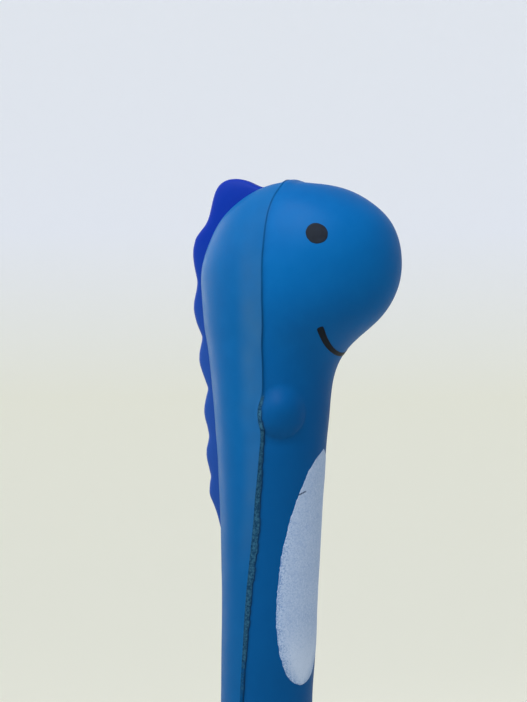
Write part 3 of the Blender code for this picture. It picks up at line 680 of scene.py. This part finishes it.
# =====================================================================
# Painted and printed pieces: thin coats that lie on the skin
# =====================================================================
def coat(name, a, u, edge, mat, thickness=0.045, closed=False, centre=None):
    """Thin closed film over a grid of skin coordinates; edge is each point's distance inside its outline."""
    lift = -0.06 + (thickness + 0.06) * step(0.0, 0.11, edge)
    top = SKIN.point(a, u, lift)
    low = SKIN.point(a, u, -0.10)
    rows, cols = a.shape
    verts = np.concatenate((top.reshape(-1, 3), low.reshape(-1, 3)), 0)
    m = rows * cols
    faces = grid_faces(rows, cols, closed) + [f[::-1] for f in grid_faces(rows, cols, closed, m)]
    if closed:
        last = (rows - 1) * cols
        for j in range(cols):
            k = (j + 1) % cols
            faces.append((last + j, last + k, m + last + k, m + last + j))
            faces.append((k, j, m + j, m + k)) if centre is None else None
        if centre is not None:
            ca, cu = (np.array([v]) for v in centre)
            verts = np.concatenate((verts, SKIN.point(ca, cu, thickness), SKIN.point(ca, cu, -0.10)), 0)
            c0 = 2 * m
            for j in range(cols):
                k = (j + 1) % cols
                faces.append((c0, k, j))
                faces.append((c0 + 1, m + j, m + k))
    else:
        rim = [j for j in range(cols)] + [i * cols + cols - 1 for i in range(1, rows)]
        rim += [(rows - 1) * cols + j for j in range(cols - 2, -1, -1)] + [i * cols for i in range(rows - 2, 0, -1)]
        for p, q in zip(rim, rim[1:] + rim[:1]):
            faces.append((p, q, m + q, m + p))
    return outward(new_object(name, verts, faces, mat))


BELLY_OUTLINE = (
    (122.15, 0.6), (121.81, 4.2), (121.2, 11.5), (120.48, 17.4), (118.95, 26.3), (116.48, 34.1), (114.31, 38.9),
    (110.9, 45.3), (106.53, 49.6), (102.61, 50.1), (98.69, 48.8), (96.34, 47.0), (93.98, 43.9), (90.83, 37.8),
    (88.44, 31.0), (86.83, 24.4), (85.98, 18.4), (85.3, 10.5), (84.95, 0.6),
)
BELLY_TOP, BELLY_LOW = BELLY_OUTLINE[0][0], BELLY_OUTLINE[-1][0]


def belly():
    rows, cols = ((230, 91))
    w = np.linspace(0, 1, rows)
    z = BELLY_TOP - (BELLY_TOP - BELLY_LOW) * (0.5 * (1 - np.cos(w * math.pi)) * 0.6 + w * 0.4)
    outline = np.array(BELLY_OUTLINE)[::-1]
    half = np.interp(z, outline[:, 0], outline[:, 1])
    kernel = np.ones(5) / 5
    half = np.convolve(np.pad(half, 2, mode="edge"), kernel, mode="valid")
    q = np.linspace(-1, 1, cols)
    q = np.sign(q) * (1 - (1 - np.abs(q)) ** 1.25)
    u = SKIN.u_of_z(z)
    r = np.interp(u, SKIN.u, SKIN.half)
    a = np.zeros((rows, cols))
    for sign in (1, -1):
        jitter = 0.10 * value_noise(z / 0.42 + 17 * sign, np.full(rows, 2.5), 41) + 0.07 * value_noise(z / 0.9, np.full(rows, 5.5 + sign), 42)
        reach = np.radians(half) + jitter / r * step(0.0, 12.0, half)
        part = q * sign >= 0
        a[:, part] = reach[:, None] * q[None, part]
    uu = np.repeat(u[:, None], cols, 1)
    inside = np.minimum((1 - np.abs(q))[None, :] * (np.radians(half) * r)[:, None],
                        np.minimum(z - BELLY_LOW, BELLY_TOP - z)[:, None] * 1.5)
    obj = coat("belly_paint", a, uu, inside, BELLY)
    edge_mm = (1 - np.abs(q))[None, :] * (np.radians(half) * r)[:, None]
    thin = np.exp(-edge_mm / 1.6) * (0.35 + 0.65 * (1 - step(106.0, 116.0, z)))[:, None]
    thin = np.where((a > 0), thin, thin * 0.7)
    full = 0.5 * (1 - step(88.0, 96.0, z))[:, None] * step(0.6, 2.5, edge_mm)
    # one short scratch at the coat's right-hand edge
    x0 = (a - np.radians(36.9)) * r[:, None]
    zz = np.repeat(z[:, None], cols, 1)
    d = np.abs((zz - 115.2) - 0.38 * (-x0 - 0.2)) + 3.0 * np.clip(-x0 - 1.3, 0, 9)
    scratch = (1 - step(0.07, 0.15, d)) * (a > 0)
    attribute(obj, "thin", np.concatenate((thin.ravel(), thin.ravel())))
    attribute(obj, "full", np.concatenate((full.ravel(), full.ravel())))
    attribute(obj, "scratch", np.concatenate((scratch.ravel(), scratch.ravel())))
    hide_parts("belly_patch")
    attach(obj, "pen_body")
    return obj


EYE_ANGLE, EYE_Z, EYE_WIDE, EYE_TALL = 71.6, 155.78, 1.79, 1.76


def eye(name, sign, node):
    rings, cols = ((12, 72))
    u0 = float(SKIN.u_of_z(EYE_Z))
    a0 = sign * math.radians(EYE_ANGLE)
    e = 1e-3
    da = np.linalg.norm(SKIN.base(np.array([a0 + e]), np.array([u0])) - SKIN.base(np.array([a0 - e]), np.array([u0]))) / (2 * e)
    du = np.linalg.norm(SKIN.base(np.array([a0]), np.array([u0 + e])) - SKIN.base(np.array([a0]), np.array([u0 - e]))) / (2 * e)
    rho = np.linspace(0.12, 1.0, rings)[:, None]
    phi = np.linspace(0, 2 * math.pi, cols, endpoint=False)[None, :]
    ragged = 1 + 0.008 * np.sin(5 * phi + sign) + 0.006 * np.sin(11 * phi)
    across, up = EYE_WIDE * rho * ragged * np.cos(phi), EYE_TALL * rho * ragged * np.sin(phi)
    a, u = a0 + across / da, u0 - up / du
    obj = coat(name, a, u, (1 - rho) * 1.7 + 0 * phi, EYE, 0.05, True, (a0, u0))
    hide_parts(node)
    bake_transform(obj)
    return obj


MOUTH_HALF, MOUTH_LOW, MOUTH_RISE, MOUTH_WIDTH = 53.4, 137.12, 4.3, 0.80


def mouth():
    steps, cols = ((150, 11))
    w = np.linspace(-1, 1, steps)
    a = np.radians(MOUTH_HALF * w)
    z = MOUTH_LOW + MOUTH_RISE * np.abs(w) ** 2.08
    u = SKIN.u_of_z(z)
    p = SKIN.base(a, u)
    along = np.gradient(p, axis=0)
    run = np.concatenate(([0], np.cumsum(np.linalg.norm(np.diff(p, axis=0), axis=1))))
    along /= np.linalg.norm(along, axis=1, keepdims=True)
    n = SKIN.normal(a, u)
    across = np.cross(n, along)
    end = np.minimum(run, run[-1] - run)
    half = 0.5 * MOUTH_WIDTH * np.sqrt(1 - np.clip(1 - end / (0.5 * MOUTH_WIDTH), 0, 1) ** 2)
    half = np.maximum(half * (1 + 0.05 * value_noise(run / 1.3, np.zeros(steps) + 0.3, 51)), 0.03)
    q = np.linspace(-1, 1, cols)
    # move across the line in skin coordinates
    e = 1e-3
    da = (SKIN.base(a + e, u) - SKIN.base(a - e, u)) / (2 * e)
    du = (SKIN.base(a, u + e) - SKIN.base(a, u - e)) / (2 * e)
    sa = (across * da).sum(1) / (da * da).sum(1)
    su = (across * du).sum(1) / (du * du).sum(1)
    off = half[:, None] * q[None, :]
    aa, uu = a[:, None] + off * sa[:, None], u[:, None] + off * su[:, None]
    edge = np.minimum(half[:, None] * (1 - np.abs(q))[None, :], end[:, None] + 0 * q[None, :]) * 1.3
    obj = coat("mouth_line", aa, uu, edge, MOUTH, 0.05)
    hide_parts("mouth")
    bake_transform(obj)
    return obj


# =====================================================================
# Pen pieces
# =====================================================================
def stand_for(obj, body, slot, *nodes):
    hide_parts(*nodes)
    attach(obj, body)
    return obj


def pen_parts():
    seg = 112
    stand_for(turned("barrel_tube", (
        (4.3, 56.8), (5.62, 56.8), (5.8, 57.0), (5.8, 58.6), (5.62, 58.75), (5.62, 59.05), (5.8, 59.2),
        (5.8, 65.8), (5.6, 66.0), (4.0, 66.0), (4.0, 120.0), (3.35, 120.0), (3.35, 65.2), (4.3, 64.8),
    ), SHELL, seg), "pen_body", "barrel_plastic", "barrel")
    stand_for(turned("barrel_end_plug", (
        (0.0, 117.0), (2.75, 117.0), (3.05, 117.4), (3.05, 120.3), (4.0, 120.3), (4.0, 120.8), (3.8, 121.0), (0.0, 121.0),
    ), WHITE, seg), "pen_body", "holder_plastic", "end_plug")
    stand_for(turned("refill_tube", ((2.5, 27.3), (3.0, 27.3), (3.0, 116.0), (2.5, 116.0)), CLEAR, seg),
              "refill", "tube_plastic", "ink_tube")
    stand_for(turned("gel_ink", ((0.0, 31.4), (2.35, 31.4), (2.42, 31.6), (2.42, 87.6), (2.0, 88.0), (0.0, 87.8)), INK, seg),
              "refill", "gel_ink", "ink")
    stand_for(turned("grease_follower", (
        (0.0, 88.25), (2.2, 88.3), (2.42, 88.5), (2.42, 92.6), (1.6, 93.1), (0.0, 93.3),
    ), GREASE, seg), "refill", "follower_gel", "ink_follower")
    stand_for(turned("tip_socket", (
        (1.30, 14.0), (1.75, 14.0), (1.75, 20.6), (2.6, 20.6), (2.9, 20.9), (2.9, 23.2), (2.75, 23.4), (2.75, 23.9),
        (2.9, 24.1), (2.9, 27.0), (2.3, 27.0), (2.3, 30.8), (2.1, 31.1), (0.9, 31.1), (0.9, 19.0), (1.30, 19.0),
    ), WHITE, seg), "refill", "holder_plastic", "tip_holder")
    stand_for(turned("metal_tip", (
        (0.41, 5.24), (0.53, 5.24), (0.62, 5.9), (0.92, 7.9), (1.05, 8.7), (1.05, 18.7), (0.5, 18.7), (0.5, 7.0),
        (0.2, 6.3), (0.2, 5.98), (0.43, 5.78), (0.43, 5.4),
    ), STEEL, seg), "refill", "tip_metal", "tip_cone")
    ball_profile = [(0.35 * math.sin(math.radians(t)), 5.42 - 0.35 * math.cos(math.radians(t))) for t in range(0, 181, 12)]
    ball_profile[0], ball_profile[-1] = (0.0, 5.07), (0.0, 5.77)
    stand_for(turned("point_ball", ball_profile, CARBIDE, 40, 60.0), "refill", "ball_metal", "writing_ball")

    # grip section with shallow finger rings
    grip = [(2.05, 12.0), (2.4, 12.0), (2.75, 12.4), (4.3, 20.0), (4.4, 24.0)]
    for k in range(9):
        z = 25.0 + 2.2 * k
        r = 4.44 + 0.008 * (z - 26)
        grip += [(r, z), (r - 0.16, z + 0.35), (r - 0.16, z + 0.75), (r, z + 1.1)]
    grip += [(4.7, 50.0), (4.7, 55.3), (5.55, 55.3), (5.8, 55.55), (5.8, 56.3), (5.6, 56.5), (4.1, 56.5)]
    for k in range(5):
        z = 57.4 + 1.3 * k
        grip += [(4.1, z), (3.92, z + 0.3), (3.92, z + 0.6), (4.1, z + 0.9)]
    grip += [(4.1, 64.1), (3.7, 64.5), (3.3, 64.5), (3.3, 20.0), (2.05, 19.2)]
    stand_for(turned("grip_front", grip, SHELL, seg), "section", "barrel_plastic", "grip_section")

    stand_for(turned("cap_seal_pad", (
        (0.0, 1.9), (2.5, 1.9), (2.5, 4.2), (2.1, 4.6), (0.9, 4.6), (0.6, 4.4), (0.0, 4.3),
    ), RUBBER, seg), "cap_assembly", "seal_rubber", "cap_seal")
    cap(seg)


def cap(seg):
    wall = turned("pen_cap", (
        (0.0, 0.0), (4.1, 0.0), (4.5, 0.12), (4.75, 0.4), (4.87, 0.9), (5.75, 48.0), (5.8, 50.0), (5.8, 52.3),
        (5.62, 52.45), (5.62, 52.75), (5.8, 52.9), (5.8, 54.8), (5.6, 55.0), (5.05, 55.0),
        (5.0, 50.0), (4.65, 20.0), (4.1, 2.2), (3.6, 1.6), (0.0, 1.6),
    ), CAP, seg)
    # clip: a side outline swept across its width, crowned and tapered towards the free end
    centre = [(4.0, -7.3, 0.62), (5.2, -7.42, 0.60), (10.0, -7.46, 0.56), (20.0, -7.55, 0.54), (32.0, -7.66, 0.52),
              (39.0, -7.68, 0.54), (41.5, -7.5, 0.66), (42.8, -7.38, 0.72), (43.8, -7.5, 0.66), (44.5, -7.72, 0.44)]
    zs = np.array([c[0] for c in centre])
    fine = np.linspace(zs[0], zs[-1], 70)
    ys = np.interp(fine, zs, [c[1] for c in centre])
    ts = np.interp(fine, zs, [c[2] for c in centre])
    k = np.ones(5) / 5
    ys = np.convolve(np.pad(ys, 2, mode="edge"), k, mode="valid")
    ends = np.minimum(1.0, np.sqrt(np.clip(1 - np.clip(1 - (fine[-1] - fine) / 1.6, 0, 1) ** 2, 0, 1)) + 0.05)
    widths = (2.1 - 0.35 * (fine - fine[0]) / (fine[-1] - fine[0])) * ends
    m = 20
    phi = np.linspace(0, 2 * math.pi, m, endpoint=False)
    cx = np.sign(np.cos(phi)) * np.abs(np.cos(phi)) ** 0.55
    cy = np.sign(np.sin(phi)) * np.abs(np.sin(phi)) ** 0.7
    verts = np.stack((widths[:, None] * cx[None, :], ys[:, None] + ts[:, None] * cy[None, :] - 0.10 * (1 - cx**2)[None, :] * (cy < 0)[None, :],
                      fine[:, None] + 0 * cx[None, :]), -1).reshape(-1, 3)
    faces = grid_faces(len(fine), m, True) + [tuple(range(m - 1, -1, -1)), tuple((len(fine) - 1) * m + j for j in range(m))]
    clip = outward(new_object("clip_form", verts, faces, CAP, 40.0))
    # root block joining the clip to the wall
    rows = []
    for y, w, lo, hi in ((-4.5, 1.9, 3.6, 8.2), (-5.6, 1.9, 3.6, 8.3), (-6.4, 1.95, 3.7, 8.5), (-7.0, 2.0, 4.0, 9.2), (-7.4, 1.9, 4.4, 9.6)):
        rows.append([(x * w, y, lo + (hi - lo) * t) for x, t in
                     ((-1, 0.12), (-0.85, 0.0), (0.85, 0.0), (1, 0.12), (1, 0.88), (0.85, 1.0), (-0.85, 1.0), (-1, 0.88))])
    verts = np.array(rows).reshape(-1, 3)
    faces = grid_faces(5, 8, True) + [tuple(range(7, -1, -1)), tuple(32 + j for j in range(8))]
    root = outward(new_object("clip_root", verts, faces, CAP, 40.0))
    for tool in (clip, root):
        cut = wall.modifiers.new("join", "BOOLEAN")
        cut.operation, cut.solver, cut.object = "UNION", "EXACT", tool
    bpy.context.view_layer.update()
    done = bpy.data.meshes.new_from_object(wall.evaluated_get(bpy.context.evaluated_depsgraph_get()))
    wall.modifiers.clear()
    wall.data = done
    if not len(done.materials):
        done.materials.append(CAP)
    done.shade_smooth()
    done.set_sharp_from_angle(angle=math.radians(35))
    for tool in (clip, root):
        bpy.data.objects.remove(tool, do_unlink=True)
    stand_for(wall, "cap_assembly", "barrel_plastic", "cap")


# =====================================================================
# Stage and light
# =====================================================================
def stage():
    """Plain pale floor that curves up into a low wall all round."""
    profile = [(0.0, 0.0), (0.9, 0.0), (1.15, 0.002)]
    for t in np.linspace(0, math.pi / 2, 14)[1:]:
        profile.append((1.15 + 0.45 * math.sin(t), 0.002 + 0.45 * (1 - math.cos(t))))
    profile += [(1.6, 0.7), (1.6, 1.1)]
    segments, verts, faces = 96, [(0.0, 0.0, 0.0)], []
    for r, z in profile[1:]:
        verts += [(r * math.cos(2 * math.pi * k / segments), r * math.sin(2 * math.pi * k / segments), z) for k in range(segments)]
    faces += [(0, 1 + k, 1 + (k + 1) % segments) for k in range(segments)]
    faces += [f[::-1] for f in grid_faces(len(profile) - 1, segments, True, 1)]
    n = Nodes("stage_pale")
    up = n.add("ShaderNodeSeparateXYZ")
    n.link(n.coords(), up.inputs[0])
    tone = n.mix(n.spread(up.outputs["Z"], 0.10, 0.24, 0.0, 1.0), srgb(232, 231, 216), srgb(232, 235, 243))
    n.set(Base_Color=tone, Roughness=0.9, Specular_IOR_Level=0.1, Emission_Color=tone, Emission_Strength=0.21)
    floor = new_object("floor", np.array(verts) / MM, faces, n.mat)


def area(name, direction, distance, size, power, colour, aim=(0.0, 0.0, 0.15)):
    data = bpy.data.lights.new(name, "AREA")
    data.shape, data.size, data.energy, data.color = "DISK", size, power, colour
    lamp = bpy.data.objects.new(name, data)
    scene.collection.objects.link(lamp)
    direction = direction.normalized()
    lamp.location = Vector(aim) + direction * distance
    lamp.rotation_euler = direction.to_track_quat("Z", "Y").to_euler()
    lamp.visible_camera = False
    return lamp


def toward(turn, rise):
    """Direction at an angle to the left of the camera and above the floor."""
    t, e = math.radians(turn), math.radians(rise)
    return ((-RIGHT * math.sin(t) + VIEW_DIR * math.cos(t)) * math.cos(e) + Vector((0, 0, math.sin(e))),)


def lights():
    world = scene.world
    world.use_nodes = True
    back = world.node_tree.nodes["Background"]
    back.inputs["Color"].default_value = (0.93, 0.96, 1.0, 1.0)
    back.inputs["Strength"].default_value = 0.70
    # soft key close above the head, a weak side light, and a rim light from behind
    area("key", *toward(30, 50), 0.18, 0.14, 0.42, (1.0, 0.99, 0.97))
    area("side", *toward(80, 25), 0.18, 0.14, 0.07, (1.0, 1.0, 1.0))
    area("rim", *toward(134, 10), 0.34, 0.26, 0.42, (0.98, 0.98, 1.0), (0.0, 0.0, 0.12))


foam_skin()
crest()
belly()
eye("eye_print_right", 1, "eye_right")
eye("eye_print_left", -1, "eye_left")
mouth()
pen_parts()
stage()
lights()

scene.view_settings.view_transform = "Standard"
scene.view_settings.look = "None"
